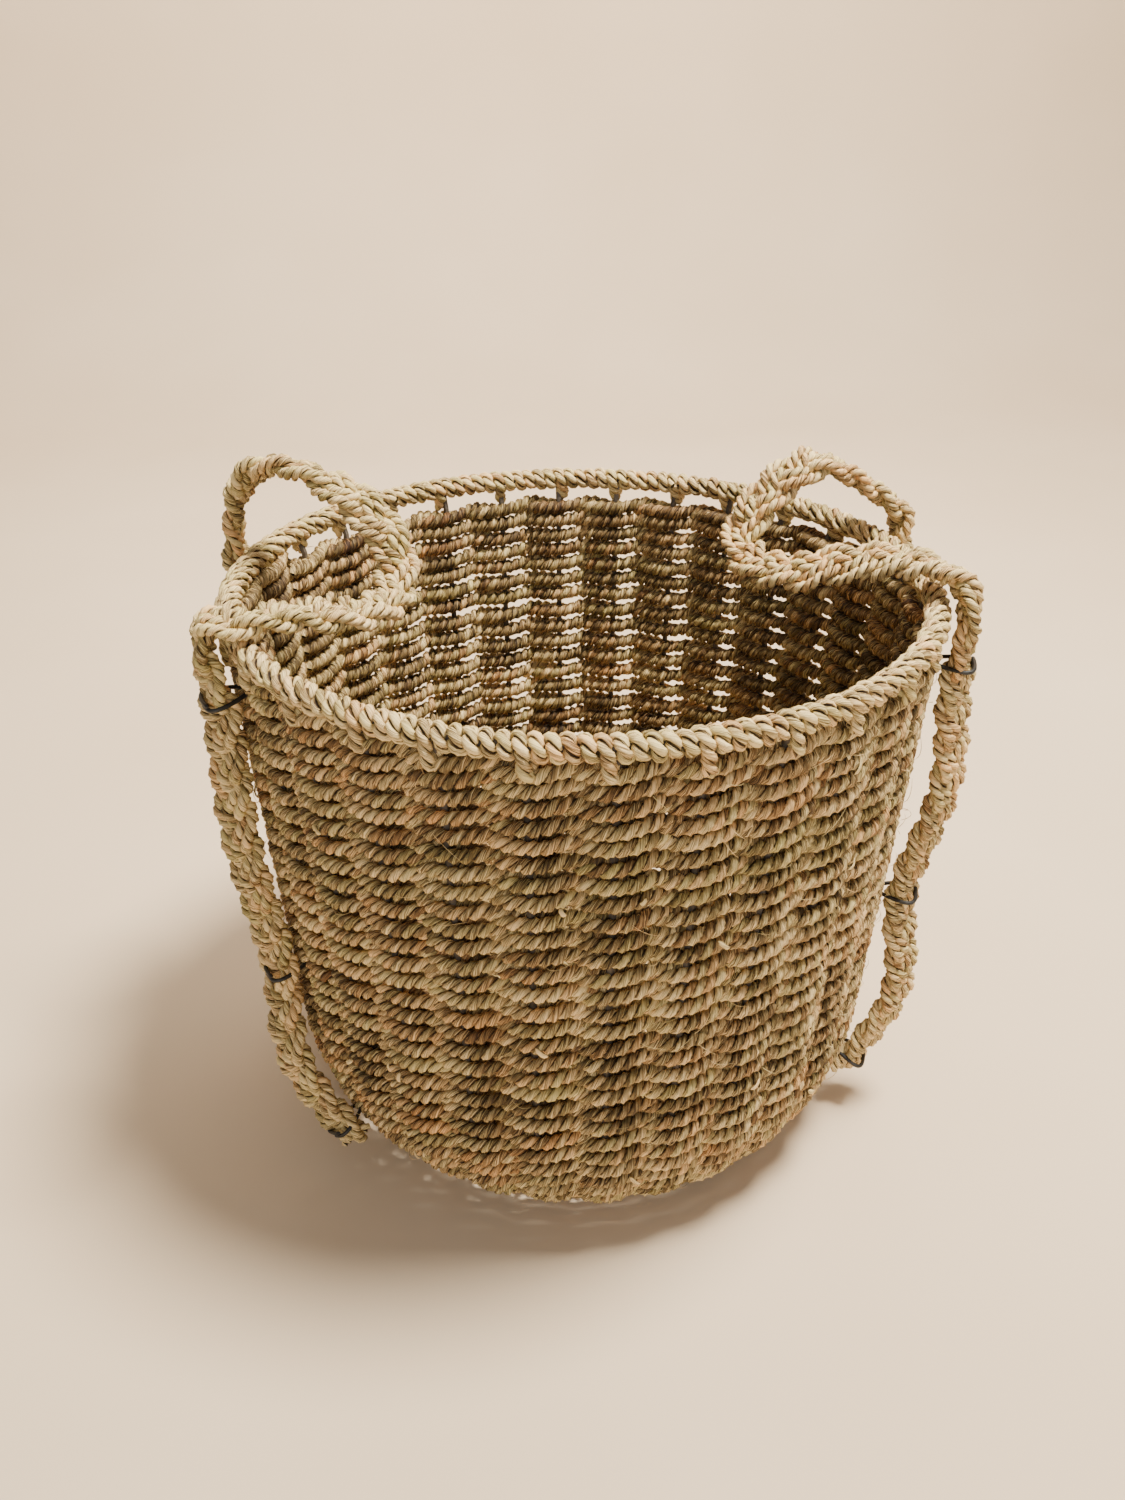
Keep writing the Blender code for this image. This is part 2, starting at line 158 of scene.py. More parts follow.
def respaced(path, step, others=()):
    """The path again with even steps, and any values that go with its points."""
    length = along_path(path)
    count = max(3, int(round(length[-1] / step)) + 1)
    at = np.linspace(0, length[-1], count)
    fresh = np.stack([np.interp(at, length, path[:, k]) for k in range(3)], axis=1)
    carried = [np.stack([np.interp(at, length, o[:, k]) for k in range(o.shape[1])], axis=1) for o in others]
    return (fresh, *carried)


# ---------------------------------------------------------------- meshes

class Strands:
    """Collects tubes and makes one mesh of them, with a UV map along and around each tube."""

    def __init__(self):
        self.points, self.faces, self.uvs, self.tones, self.count = [], [], [], [], 0

    def tube(self, centre, normal, radius, tone, sides=PLY_SIDES, squash=None, ends=True, flat=1.0):
        """A tube round the centre line. Its seam faces normal, flat is its thickness that way as a share.

        squash holds a line, directions and a share: the tube is flattened along them towards the line.
        """
        tangent = unit(np.gradient(centre, axis=0))
        normal = unit(normal - (normal * tangent).sum(1, keepdims=True) * tangent)
        across = np.cross(tangent, normal)
        radius = np.broadcast_to(np.asarray(radius, float), len(centre)).copy()
        angle = np.arange(sides) * math.tau / sides
        forth = np.cos(angle)[None, :, None] * normal[:, None] * flat
        aside = np.sin(angle)[None, :, None] * across[:, None]
        points = centre[:, None] + (forth + aside) * radius[:, None, None]
        if squash is not None:
            base, direction, keep = squash
            out = ((points - base[:, None]) * direction[:, None]).sum(2, keepdims=True)
            points = points - out * direction[:, None] * (1 - keep)
        if ends:
            for end in (0, -1):
                middle = points[end].mean(0)
                points[end] = middle + (points[end] - middle) * END_SHARE
        n = len(centre)
        start = self.count
        i, j = np.meshgrid(np.arange(n - 1), np.arange(sides), indexing="ij")
        k = (j + 1) % sides
        quads = np.stack([i * sides + j, i * sides + k, (i + 1) * sides + k, (i + 1) * sides + j], axis=-1)
        self.faces.append(quads.reshape(-1, 4)[:, ::-1] + start)
        length = along_path(centre)
        u0, u1 = length[i], length[i + 1]
        v0, v1 = j / sides, (j + 1) / sides
        corners = ((u0, v0), (u0, v1), (u1, v1), (u1, v0))
        uv = np.stack([np.stack(corner, -1) for corner in corners], 2)
        self.uvs.append(uv.reshape(-1, 4, 2)[:, ::-1])
        self.points.append(points.reshape(-1, 3))
        tone = np.broadcast_to(np.asarray(tone, float).reshape(-1, 3), (n, 3))
        self.tones.append(np.repeat(tone, sides, axis=0))
        self.count += n * sides

    def make(self, name, material):
        points = np.concatenate(self.points)
        faces = np.concatenate(self.faces)
        uvs = np.concatenate(self.uvs)
        mesh = bpy.data.meshes.new(name)
        mesh.vertices.add(len(points))
        mesh.vertices.foreach_set("co", points.astype(np.float32).ravel())
        mesh.loops.add(faces.size)
        mesh.loops.foreach_set("vertex_index", faces.astype(np.int32).ravel())
        mesh.polygons.add(len(faces))
        mesh.polygons.foreach_set("loop_start", np.arange(0, faces.size, 4, dtype=np.int32))
        mesh.polygons.foreach_set("loop_total", np.full(len(faces), 4, np.int32))
        layer = mesh.uv_layers.new(name="strand")
        layer.data.foreach_set("uv", uvs.astype(np.float32).ravel())
        tones = np.concatenate(self.tones)
        tone = mesh.attributes.new("tone", "FLOAT_COLOR", "POINT")
        colours = np.column_stack([tones, np.ones(len(tones))])
        tone.data.foreach_set("color", colours.astype(np.float32).ravel())
        mesh.update(calc_edges=True)
        mesh.validate()
        mesh.shade_smooth()
        mesh.materials.append(material)
        made = bpy.data.objects.new(name, mesh)
        bpy.context.scene.collection.objects.link(made)
        return made


def lay_rope(strands, path, out, size=ROPE, lay=ROPE_LAY, tint=(0.5, 0.5, 0.5), keep=1.0, step=STEP,
             sides=PLY_SIDES, ends=True):
    """A laid rope of two plies along a path. out is its outward direction at each point, keep how flat it is.

    tint's first two values are how light and how warm each stretch is. The third is taken up by the ply.
    """
    tint = np.broadcast_to(np.asarray(tint, float), (len(path), 3))
    size = np.broadcast_to(np.asarray(size, float).reshape(-1, 1), (len(path), 1))
    path, out, tint, size = respaced(path, step, (out, tint, size))
    tangent = unit(np.gradient(path, axis=0))
    normal = unit(out - (out * tangent).sum(1, keepdims=True) * tangent)
    across = np.cross(tangent, normal)
    length = along_path(path)
    size = size[:, 0] * (1 + wander(length, *SIZE_WANDER))
    lay = length[-1] / max(1, round(length[-1] / lay))
    turn = -math.tau * length / lay
    turn = turn + wander(length, *TURN_WANDER)
    for ply in range(2):
        angle = turn + math.pi * ply
        away = np.cos(angle)[:, None] * normal + np.sin(angle)[:, None] * across
        centre = path + away * (size * PLY_OFFSET)[:, None]
        thick = size * PLY_RADIUS * (1 + wander(length, *PLY_WANDER))
        light = tint[:, 0] + wander(length, *SHADE_WANDER) + PLY_SHADES * (ply - 0.5)
        warmth = tint[:, 1] + wander(length, *WARMTH_WANDER)
        shade = np.stack([light, warmth, np.full(len(length), 0.2 + 0.31 * ply)], axis=1)
        strands.tube(centre, away, thick, shade, sides, (path, normal, keep), ends)


# ---------------------------------------------------------------- materials

def node_tree(name):
    material = bpy.data.materials.new(name)
    material.use_nodes = True
    tree = material.node_tree
    return material, tree, tree.nodes["Principled BSDF"]


def add(tree, kind, **values):
    node = tree.nodes.new(kind)
    for key, value in values.items():
        setattr(node, key, value)
    return node


def math_node(tree, operation, a, b=None):
    node = add(tree, "ShaderNodeMath", operation=operation)
    for socket, value in zip(node.inputs, (a, b)):
        if value is None:
            continue
        if isinstance(value, (int, float)):
            socket.default_value = value
        else:
            tree.links.new(value, socket)
    return node.outputs[0]


def mix_colour(tree, factor, a, b, blend="MIX"):
    node = add(tree, "ShaderNodeMix", data_type="RGBA", blend_type=blend)
    for socket, value in ((node.inputs["Factor"], factor), (node.inputs[6], a), (node.inputs[7], b)):
        if isinstance(value, (tuple, list)):
            socket.default_value = (*value, 1.0)
        elif isinstance(value, (int, float)):
            socket.default_value = value
        else:
            tree.links.new(value, socket)
    return node.outputs[2]


def ramp(tree, value, stops):
    node = add(tree, "ShaderNodeValToRGB")
    tree.links.new(value, node.inputs["Fac"])
    elements = node.color_ramp.elements
    while len(elements) < len(stops):
        elements.new(0.5)
    for element, (place, colour) in zip(elements, stops):
        element.position = place
        element.color = (*colour, 1.0)
    return node.outputs["Color"]


def clamped(tree, value):
    node = add(tree, "ShaderNodeClamp")
    tree.links.new(value, node.inputs[0])
    return node.outputs[0]


def map_range(tree, value, to_low, to_high, low=0.0, high=1.0):
    node = add(tree, "ShaderNodeMapRange")
    for socket, number in (("From Min", low), ("From Max", high), ("To Min", to_low), ("To Max", to_high)):
        node.inputs[socket].default_value = number
    tree.links.new(value, node.inputs["Value"])
    return node.outputs[0]


def noise(tree, place, scale, detail, roughness=0.5):
    node = add(tree, "ShaderNodeTexNoise")
    for socket, number in (("Scale", scale), ("Detail", detail), ("Roughness", roughness)):
        node.inputs[socket].default_value = number
    tree.links.new(place, node.inputs["Vector"])
    return node.outputs["Fac"]


def bump(tree, shader, height, strength, distance):
    node = add(tree, "ShaderNodeBump")
    node.inputs["Strength"].default_value = strength
    node.inputs["Distance"].default_value = distance
    tree.links.new(height, node.inputs["Height"])
    tree.links.new(node.outputs[0], shader.inputs["Normal"])


# Seagrass. Each layer of streaks: changes per metre along a ply, changes round it, detail, and its weight.
FINE_STREAKS = (70.0, 8.0, 3.0, 1.35)
COARSE_STREAKS = (110.0, 1.6, 2.0, 0.60)
STREAK_TWIST = 90.0
STREAK_ROUGHNESS = 0.6
STREAKS_MIDDLE = 0.48
TONE_WEIGHT = 0.55
PLY_SHIFT = 37.0
# Painted shade in the groove between the plies: each ply is darker where it faces in, between two values of
# how far out it faces.
GROOVE_FACING = (-0.45, 0.15)
GROOVE_PAINTED_SHADE = (-0.32, 0.03)
DARK_STOP, MIDDLE_STOP, LIGHT_STOP = 0.25, 0.47, 0.66
WARMTH_MIDDLE = 0.55
WARM_WEIGHT = 2.2
GREEN_WEIGHT = 2.6


def seagrass_material(name, dark, middle, light, warm, green):
    """Dry twisted leaves: long fine fibres along each ply, straw to brown, with warm and green stretches."""
    material, tree, shader = node_tree(name)
    links = tree.links
    uv = add(tree, "ShaderNodeUVMap", uv_map="strand").outputs["UV"]
    parts = add(tree, "ShaderNodeSeparateXYZ")
    links.new(uv, parts.inputs[0])
    tones = add(tree, "ShaderNodeSeparateColor")
    links.new(add(tree, "ShaderNodeAttribute", attribute_name="tone").outputs["Color"], tones.inputs[0])
    light_tone, warm_tone, ply_tone = tones.outputs[:3]
    ply_shift = math_node(tree, "MULTIPLY", ply_tone, PLY_SHIFT)
    along, around = parts.outputs[0], parts.outputs[1]
    round_angle = math_node(tree, "MULTIPLY", around, math.tau)
    twisted = math_node(tree, "ADD", round_angle, math_node(tree, "MULTIPLY", along, STREAK_TWIST))

    def streaks(per_metre, per_round, detail, weight):
        spot = add(tree, "ShaderNodeCombineXYZ")
        forth = math_node(tree, "MULTIPLY", math_node(tree, "COSINE", twisted), per_round)
        aside = math_node(tree, "MULTIPLY", math_node(tree, "SINE", twisted), per_round)
        ahead = math_node(tree, "ADD", math_node(tree, "MULTIPLY", along, per_metre), ply_shift)
        for socket, value in zip(spot.inputs, (forth, aside, ahead)):
            links.new(value, socket)
        grain = noise(tree, spot.outputs[0], 1.0, detail, STREAK_ROUGHNESS)
        return grain, math_node(tree, "MULTIPLY", grain, weight)

    fine, weighted_fine = streaks(*FINE_STREAKS)
    _, weighted_coarse = streaks(*COARSE_STREAKS)
    value = math_node(tree, "ADD", weighted_fine, weighted_coarse)
    value = math_node(tree, "SUBTRACT", value, STREAKS_MIDDLE)
    tone = math_node(tree, "MULTIPLY", math_node(tree, "SUBTRACT", light_tone, 0.5), TONE_WEIGHT)
    value = math_node(tree, "ADD", value, tone)
    # Painted shade: the side of each ply that faces the other ply is darkened.
    facing_out = math_node(tree, "COSINE", round_angle)
    value = math_node(tree, "ADD", value, map_range(tree, facing_out, *GROOVE_PAINTED_SHADE, *GROOVE_FACING))
    colour = ramp(tree, value, [(DARK_STOP, dark), (MIDDLE_STOP, middle), (LIGHT_STOP, light)])
    warmth = math_node(tree, "SUBTRACT", warm_tone, WARMTH_MIDDLE)
    for weight, tint in ((WARM_WEIGHT, warm), (-GREEN_WEIGHT, green)):
        share = clamped(tree, math_node(tree, "MULTIPLY", warmth, weight))
        colour = mix_colour(tree, share, colour, tint, "MULTIPLY")
    links.new(colour, shader.inputs["Base Color"])
    links.new(map_range(tree, fine, 0.72, 0.48), shader.inputs["Roughness"])
    shader.inputs["Specular IOR Level"].default_value = 0.35
    bump(tree, shader, value, 0.7, 0.0006)
    return material


def wire_material(name, scale, detail, stops, roughness, bump_height, metallic=0.0):
    """Old wire or its coating: a blotchy colour that also sets how rough and how raised the surface is."""
    material, tree, shader = node_tree(name)
    blotches = noise(tree, add(tree, "ShaderNodeTexCoord").outputs["Object"], scale, detail)
    tree.links.new(ramp(tree, blotches, stops), shader.inputs["Base Color"])
    tree.links.new(map_range(tree, blotches, *roughness), shader.inputs["Roughness"])
    shader.inputs["Metallic"].default_value = metallic
    bump(tree, shader, blotches, *bump_height)
    return material


IRON_STOPS = [(0.30, (0.045, 0.035, 0.027)), (0.55, (0.13, 0.105, 0.08)), (0.75, (0.20, 0.16, 0.12))]
TIE_STOPS = [(0.35, (0.006, 0.006, 0.006)), (0.75, (0.03, 0.028, 0.026))]


# ---------------------------------------------------------------- the wall's shape

def wall_section():
    """The cage's line from the weave's top down and in to the base's centre.

    It is the length so far, the place and the outward direction at each point.
    """
    taper = np.linspace(0, 1, 60)[:, None]
    turn_start = np.array([FLAT_RADIUS + TURN_WIDTH, TURN_HEIGHT])
    top = np.array([WALL_TOP_RADIUS, WALL_TOP])
    top = top + (top - turn_start) * ABOVE_TOP / (WALL_TOP - TURN_HEIGHT)
    wall = top * (1 - taper) + turn_start * taper
    angle = np.linspace(math.pi / 2, 0, 60)[1:]
    turn = np.stack([FLAT_RADIUS + TURN_WIDTH * np.sin(angle), TURN_HEIGHT * (1 - np.cos(angle))], axis=1)
    flat = np.stack([np.linspace(FLAT_RADIUS, 0, 40)[1:], np.zeros(39)], axis=1)
    outline = np.concatenate([wall, turn, flat])
    along = unit(np.gradient(outline, axis=0))
    outward = np.stack([-along[:, 1], along[:, 0]], axis=1)
    for _ in range(6):
        outward[1:-1] = unit(outward[:-2] + outward[1:-1] * 2 + outward[2:])
    middle = outline - outward * STAKE_DEPTH
    length = np.concatenate([[0.0], np.cumsum(np.linalg.norm(np.diff(middle, axis=0), axis=1))])
    return length, middle, outward


SECTION_LENGTH, SECTION_MIDDLE, SECTION_OUT = wall_section()


def on_wall(down, azimuth, out, up):
    """Points on the weave: down from the wall's top along the cage, out from the cage and up along it."""
    r = np.interp(down, SECTION_LENGTH, SECTION_MIDDLE[:, 0])
    z = np.interp(down, SECTION_LENGTH, SECTION_MIDDLE[:, 1])
    nr = np.interp(down, SECTION_LENGTH, SECTION_OUT[:, 0])
    nz = np.interp(down, SECTION_LENGTH, SECTION_OUT[:, 1])
    radius = r + nr * out - nz * up
    height = z + nz * out + nr * up
    points = np.stack([radius * np.cos(azimuth), radius * np.sin(azimuth), height], axis=1)
    facing = np.stack([nr * np.cos(azimuth), nr * np.sin(azimuth), nz], axis=1)
    return points, facing, nr


def row_places():
    """How far down from the top each row of the weave lies, from the first to the centre coil's edge."""
    places = [FIRST_ROW_BELOW_TOP]
    end = SECTION_LENGTH[-1] - CENTRE_COIL
    while True:
        share = min(len(places) / ROWS_TO_FULL_PITCH, 1.0)
        pitch = PITCH_AT_TOP + (PITCH_BELOW - PITCH_AT_TOP) * share
        if places[-1] + pitch > end:
            return places
        places.append(places[-1] + pitch)


# ---------------------------------------------------------------- weave

MOST_ROWS = 60
ROW_TINTS = rng.uniform(0.36, 0.64, (MOST_ROWS, 2, 3))


def weave_row(index, places, material):
    """One turn of twining: two ropes that swap sides between the wires. It runs on into the next row."""
    here = places[index]
    after = places[min(index + 1, len(places) - 1)]
    middle_radius = float(np.interp(here, SECTION_LENGTH, SECTION_MIDDLE[:, 0]))
    share = np.linspace(0, 1, max(FEWEST_POINTS, int(math.tau * middle_radius / WEAVE_STEP)))
    wires = ROW_START / (math.tau / STAKES) + share * STAKES
    azimuth = STAKE_PHASE + wires * math.tau / STAKES
    down = here + (after - here) * share + wander(wires, *DOWN_WANDER)
    strands = Strands()
    for rope in range(2):
        swap = math.pi * (wires + rope) - CROSSING_HASTE * np.sin(math.tau * wires)
        side = np.cos(swap - SIDE_DELAY)
        inside = np.clip(-side, 0, 1)
        _, _, upright = on_wall(down, azimuth, 0 * wires, 0 * wires)
        reach = BASE_SWING + (OUT_SWING - BASE_SWING) * np.clip(upright * UPRIGHT_GAIN, 0, 1)
        out = (reach + wander(wires, *OUT_WANDER)) * side
        dip = DIP * (0.5 + 0.5 * np.cos(2 * swap))
        swing = UP_SWING * (1 - INSIDE_CALM * inside) * (1 + wander(wires, *SWING_WANDER))
        up = swing * np.sin(swap) - dip + wander(wires, *UP_WANDER)
        path, facing, _ = on_wall(down, azimuth, out, up)
        tint = ROW_TINTS[index, rope] * (1 - share[:, None]) + ROW_TINTS[index + 1, rope] * share[:, None]
        # Painted shade: the stretches inside the basket get a darker colour.
        tint = tint - np.outer(inside * INSIDE_PAINTED_SHADE, (1.0, 0.0, 0.0))
        lay_rope(strands, path, facing, ROPE * (1 + INSIDE_THICKER * inside), tint=tint, ends=False)
    row = strands.make(f"weave_row_{index + 1:02d}", material)
    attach(row, "basket")
    return row


# The centre coil starts this many turns from the middle and stops this many short of the twining.
COIL_START = 0.35
COIL_STOP = 0.3
COIL_POINTS = 900


def centre_coil(material):
    """The start of the base: two layers of rope coiled flat from the middle out to the last twined row."""
    turn = np.linspace(COIL_START, CENTRE_COIL / ROPE - COIL_STOP, COIL_POINTS)
    radius = turn * ROPE
    angle = turn * math.tau
    strands = Strands()
    for height in (STAKE_DEPTH - BASE_SWING, STAKE_DEPTH + BASE_SWING):
        path = np.stack([radius * np.cos(angle), radius * np.sin(angle), np.full(len(turn), height)], axis=1)
        lay_rope(strands, path, np.tile([0.0, 0.0, 1.0], (len(turn), 1)))
    coil = strands.make("base_centre_coil", material)
    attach(coil, "basket")
    return coil


def build_weave(material):
    places = row_places()
    rows = [weave_row(i, places, material) for i in range(len(places))]
    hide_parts("wall_weave_outer", "wall_weave_inner")
    coil = centre_coil(material)
    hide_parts("base_weave_under", "base_weave_inside")


# ---------------------------------------------------------------- rim

RIM_PIECES = 6
WRAPS = 168
WRAP_ROPE = 0.0073
WRAP_FLAT = 0.85
WRAP_OUTSIDE = 0.0078
WRAP_TINT = (0.62, 0.5, 0.5)
WRAP_STEP = 0.0015
WRAP_SIDES = 8
POINTS_PER_WRAP = 40
# The share of a flattened rope's thickness from its middle line to its surface.
FLAT_REACH = 0.56
# Each stub reaches down to the first row and out over it. It is lowest this far through its turn of the hoop.
STUB_DROP = 0.0100
STUB_OUT = 0.0035
STUB_LOWEST = 0.75
STUB_SHARPNESS = 1.5
STUB_FULLNESS = 0.3
# The spacing between changes, in wraps, and how large they are.
REACH_WANDER = (0.7, 0.07)
WRAP_WANDER = (1.5, 0.0004)


def build_rim(material):
    """Rope coiled round the rim hoop. Beside every wire one turn reaches down to the first row."""
    reach = WRAP_OUTSIDE - WRAP_ROPE * WRAP_FLAT * FLAT_REACH
    per_piece = WRAPS // RIM_PIECES
    per_stake = WRAPS / STAKES
    for piece in range(RIM_PIECES):
        turn = np.linspace(piece * per_piece, (piece + 1) * per_piece, per_piece * POINTS_PER_WRAP + 1)
        angle = math.pi - turn * math.tau
        azimuth = turn / WRAPS * math.tau + STAKE_PHASE
        lowest = np.round(np.round(turn / per_stake) * per_stake - STUB_LOWEST) + STUB_LOWEST
        nearby = np.clip(1 - np.abs(turn - lowest) / 0.5, 0, 1) ** STUB_FULLNESS
        stub = np.clip(-np.sin(angle), 0, 1) ** STUB_SHARPNESS * nearby
        far = reach * (1 + wander(turn, *REACH_WANDER))
        radius = RIM_RADIUS + far * np.cos(angle) + STUB_OUT * stub
        height = RIM_HEIGHT + far * np.sin(angle) - STUB_DROP * stub
        azimuth = azimuth + wander(turn, *WRAP_WANDER) / RIM_RADIUS
        around = np.stack([np.cos(azimuth), np.sin(azimuth)])
        path = np.stack([*(radius * around), height], axis=1)
        facing = np.stack([*(np.cos(angle) * around), np.sin(angle)], axis=1)
        strands = Strands()
        lay_rope(strands, path, facing, WRAP_ROPE, ROPE_LAY, WRAP_TINT, WRAP_FLAT, WRAP_STEP, WRAP_SIDES,
                 ends=False)
        wrap = strands.make(f"rim_wrap_{piece + 1}", material)
        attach(wrap, "basket")
        if piece == 0:
            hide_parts("rim_wrap")


# ---------------------------------------------------------------- handles

PLAIT_WIDTH = 0.0275
PLAIT_THICKNESS = 0.0135
PLAIT_ROPE = 0.0068
PLAIT_LAY = 0.0125
PLAIT_PERIOD = 0.066
PLAIT_SIDES = 8
PLAIT_TINT = (0.62, 0.5, 0.5)
PLAIT_TINT_SPREAD = (0.05, 0.08)
BEAT_WANDER = (0.10, 0.35)
# Each bundle's two ropes lie this share of a rope to either side of its line, and its line stays this share
# of a rope inside the plait's edges.
BESIDE = 0.46
EDGE_SHARE = 0.95

# The handles' shape, as in the CAD
CAD_PLAIT_THICKNESS = 0.013
CAD_WRAP_RADIUS = 0.0068
GAP = 0.0003
HANDLE_MIDDLE = {"right": 0.0, "left": math.radians(182.0)}
LEG_ANGLE = {"right": math.radians(17.7), "left": math.radians(20.0)}
LEG_STANDOFF = {"right": 0.006, "left": 0.0042}
FOOT_STANDOFF = 0.003
LEG_BULGE = {"right": 0.009, "left": 0.005}
LEG_DRIFT_DEG = {"right_near": 2.0, "right_far": 9.0, "left_near": 14.0, "left_far": 6.0}
LEG_ROLL_DEG = {"near": 35.0, "far": 10.0}
LEG_BOTTOM_HEIGHT = 0.026
LOWER_TIE_HEIGHT = 0.037
UPPER_TIE_HEIGHT = RIM_HEIGHT - 0.029
MIDDLE_TIE_SHARES = {"right": 0.45, "left": 0.355}
PLAIT_ON_RIM = CAD_WRAP_RADIUS + CAD_PLAIT_THICKNESS / 2 + GAP
DRIFT_POWER = 1.5
LEG_TOP_HASTE = 1.6
LEG_POINTS = 26
LEG_END_BELOW_HINGE = 0.008
CURVE_FINENESS = 16
PATH_STEP = 0.0015
# A leg's face starts and ends turning this far from the loop, along the plait.
TURN_FROM = 0.05
TURN_TO = 0.015
FACE_SMOOTHING = 10

# The loops' routes, as in the CAD: inward from the hinge, across in half spans, and up from where a plait
# rests on the rim.
ROUTES = {
    "right": [
        (0.0000, -0.99, -0.0041), (0.0045, -0.86, 0.0019), (0.0115, -0.66, 0.0049), (0.0315, -0.39, 0.0039),
        (0.0615, -0.20, -0.0021), (0.0815, -0.06, -0.0091), (0.0975, 0.24, -0.0131), (0.1055, 0.53, -0.0101),
        (0.1035, 0.71, -0.0001), (0.0955, 0.79, 0.0119), (0.0845, 0.85, 0.0229), (0.0715, 0.89, 0.0319),
        (0.0585, 0.94, 0.0359), (0.0445, 0.99, 0.0309), (0.0255, 1.04, 0.0199), (0.0105, 1.04, 0.0099),
        (0.0010, 1.01, 0.0009), (0.0000, 1.00, -0.0051),
    ],
    "left": [
        (0.0000, -1.00, -0.0041), (0.0045, -1.02, 0.0009), (0.0125, -1.05, 0.0029), (0.0235, -1.05, 0.0019),
        (0.0455, -0.92, 0.0009), (0.0695, -0.78, -0.0041), (0.0865, -0.54, -0.0091), (0.0965, -0.20, -0.0101),
        (0.0990, 0.03, -0.0021), (0.0965, 0.15, 0.0099), (0.0875, 0.22, 0.0219), (0.0765, 0.30, 0.0329),
        (0.0555, 0.48, 0.0429), (0.0335, 0.68, 0.0459), (0.0175, 0.83, 0.0399), (0.0060, 0.95, 0.0239),
        (0.0005, 1.00, 0.0049), (0.0000, 1.00, -0.0041),
    ],
}


# Which way each loop's flat face points: the share of the route, then inward, across and up.
FACINGS = {
    "right": [
        (0.00, -1.0, 0.0, 0.0), (0.05, -0.6, 0.0, 0.8), (0.12, 0.0, -0.1, 1.0), (0.24, 0.1, -0.5, 0.85),
        (0.45, 0.15, -0.6, 0.8), (0.60, 0.2, -0.75, 0.6), (0.72, 0.0, -0.5, 0.85), (0.82, -0.3, 0.2, 0.9),
        (0.93, -0.9, 0.1, 0.4), (1.00, -1.0, 0.0, 0.0),
    ],
    "left": [
        (0.00, -1.0, 0.0, 0.0), (0.05, -0.6, 0.0, 0.8), (0.12, 0.0, 0.0, 1.0), (0.35, 0.0, -0.35, 0.9),
        (0.45, 0.2, -0.7, 0.65), (0.58, 0.3, -0.8, 0.5), (0.72, 0.1, 0.35, 0.95), (0.86, -0.3, 0.4, 0.9),
        (0.94, -0.9, 0.0, 0.3), (1.00, -1.0, 0.0, 0.0),
    ],
}


def outline_radius(height):
    """The radius of the weave's outside at a height, as in the CAD."""
    if height >= TURN_HEIGHT:
        share = (height - TURN_HEIGHT) / (WALL_TOP - TURN_HEIGHT)
        return FLAT_RADIUS + TURN_WIDTH + (WALL_TOP_RADIUS - FLAT_RADIUS - TURN_WIDTH) * min(share, 1.0)
    cosine = 1 - height / TURN_HEIGHT
    return FLAT_RADIUS + TURN_WIDTH * math.sqrt(1 - cosine * cosine)


def tie_heights(side):
    middle = LOWER_TIE_HEIGHT + (UPPER_TIE_HEIGHT - LOWER_TIE_HEIGHT) * MIDDLE_TIE_SHARES[side]
    return [LOWER_TIE_HEIGHT, middle, UPPER_TIE_HEIGHT]


def half_span(side):
    return (RIM_RADIUS + PLAIT_ON_RIM) * math.sin(LEG_ANGLE[side])


def hinge_distance(side):
    return math.hypot(HINGES[f"{side}_handle"][0], HINGES[f"{side}_handle"][1])


def leg_turn(side, leg):
    """1 for the leg that follows the handle's middle anticlockwise, -1 for the one before it."""
    return 1.0 if (side == "right") == (leg == "far") else -1.0


def leg_point(height, side, leg):
    """The middle of a leg at a height, with the handle's middle on +X, and the way out from the wall."""
    lower, middle, upper = tie_heights(side)
    fall = max(0.0, (middle - height) / (middle - LEG_BOTTOM_HEIGHT))
    distance = outline_radius(min(height, upper)) + LEG_STANDOFF[side] + CAD_PLAIT_THICKNESS / 2
    distance += FOOT_STANDOFF * fall
    if height > upper:
        share = min((height - upper) / (HINGE_HEIGHT - upper) * LEG_TOP_HASTE, 1.0)
        distance += (math.hypot(hinge_distance(side), half_span(side)) - distance) * share
    for low, high in ((lower, middle), (middle, upper)):
        if low < height < high:
            distance += LEG_BULGE[side] * math.sin(math.pi * (height - low) / (high - low)) ** 2
    angle = math.atan2(half_span(side), hinge_distance(side))
    angle += math.radians(LEG_DRIFT_DEG[f"{side}_{leg}"]) * fall ** DRIFT_POWER
    angle *= leg_turn(side, leg)
    out = np.array([math.cos(angle), math.sin(angle), 0.0])
    return out * distance + np.array([0.0, 0.0, height]), out


def turned(points, side):
    """Points or directions turned from +X to the handle's own place round the rim."""
    c, s = math.cos(HANDLE_MIDDLE[side]), math.sin(HANDLE_MIDDLE[side])
    return np.asarray(points) @ np.array([[c, s, 0.0], [-s, c, 0.0], [0.0, 0.0, 1.0]])


def smooth_curve(points):
    """A smooth curve through points, with even shares of time between them."""
    padded = [points[0]] + list(points) + [points[-1]]
    curve = []
    t = np.arange(CURVE_FINENESS)[:, None] / CURVE_FINENESS
    for p0, p1, p2, p3 in zip(padded, padded[1:], padded[2:], padded[3:]):
        curve.append(0.5 * (2 * p1 + (p2 - p0) * t + (2 * p0 - 5 * p1 + 4 * p2 - p3) * t ** 2
                            + (3 * p1 - p0 - 3 * p2 + p3) * t ** 3))
    return np.concatenate(curve + [np.array([points[-1]])])


def leg_face(side, leg):
    """The way a leg's flat face points: out from the wall, rolled a little to the front or the back."""
    _, out = leg_point(UPPER_TIE_HEIGHT, side, leg)
    roll = math.radians(LEG_ROLL_DEG[leg]) * leg_turn(side, leg)
    c, s = math.cos(roll), math.sin(roll)
    return np.array([out[0] * c - out[1] * s, out[0] * s + out[1] * c, 0.0])


